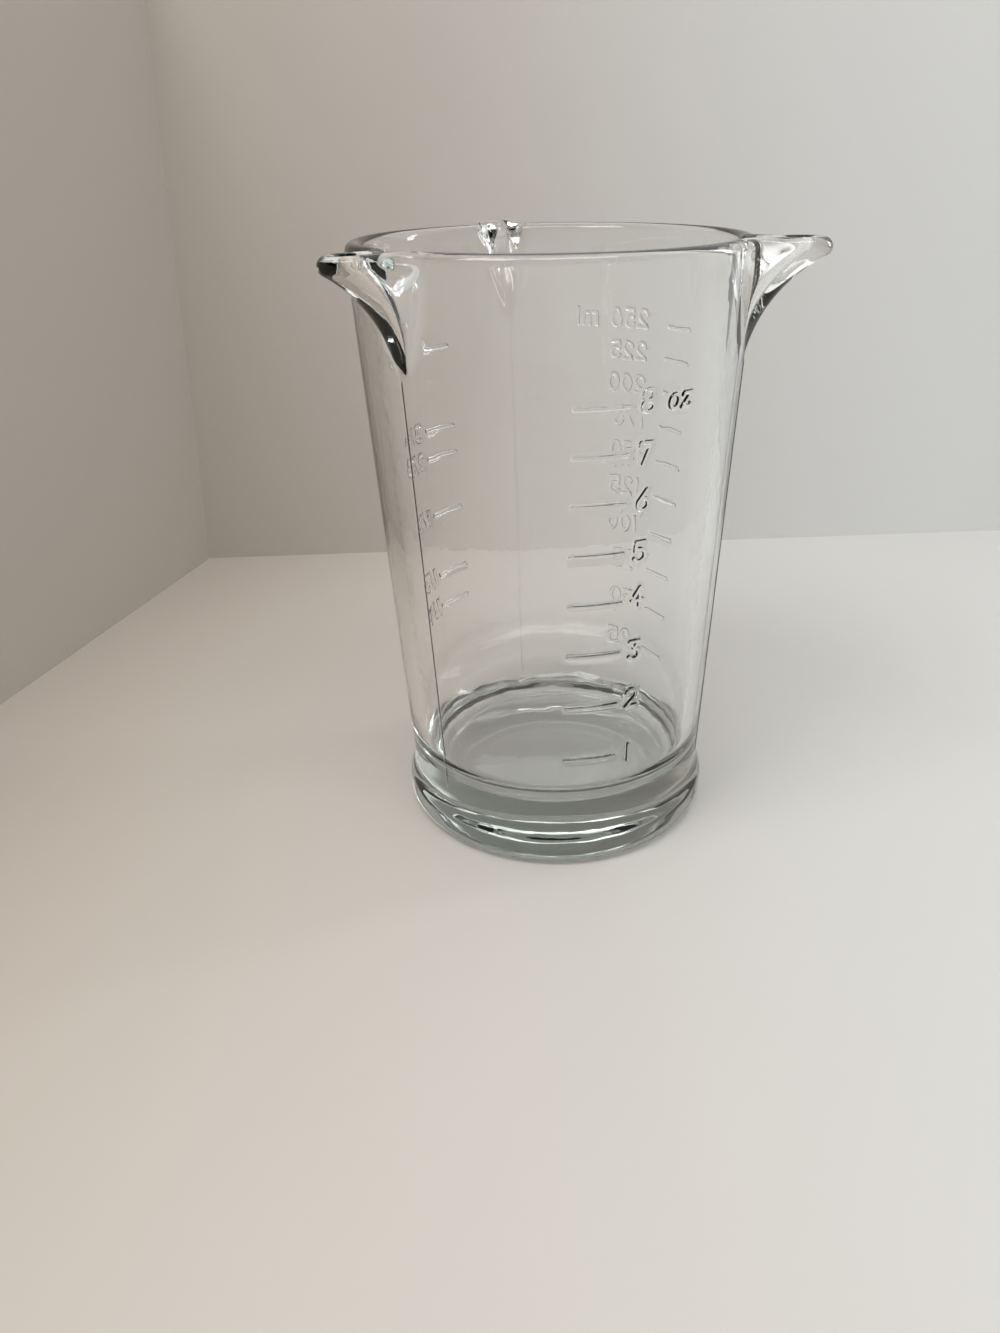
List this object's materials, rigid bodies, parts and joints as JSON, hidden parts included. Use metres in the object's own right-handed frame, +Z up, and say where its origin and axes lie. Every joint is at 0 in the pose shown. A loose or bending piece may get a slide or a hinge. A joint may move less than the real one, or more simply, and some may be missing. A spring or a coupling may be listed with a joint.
{
  "type": "measuring glass",
  "caption": "Clear pressed measuring glass with a thick base, a tapered wall, pouring spouts flowing out of the rim and raised ounce, millilitre and cup scales",
  "frame": {"origin": "the middle of the underside, on the plane that the glass stands on", "axes": "+Z up along the glass's axis; the ounce panel faces -Y; one spout points along +Y, the others a third of a turn either way"},
  "size_m": [0.0906, 0.0903, 0.118],
  "materials": {
    "clear_glass": "gloss",
    "raised_glass": "gloss"
  },
  "bodies": {
    "root": {"glass_vessel": "clear_glass", "ounce_marks": "raised_glass", "millilitre_marks": "raised_glass", "cup_marks": "raised_glass", "mould_seams": "raised_glass"}
  },
  "joints": []
}
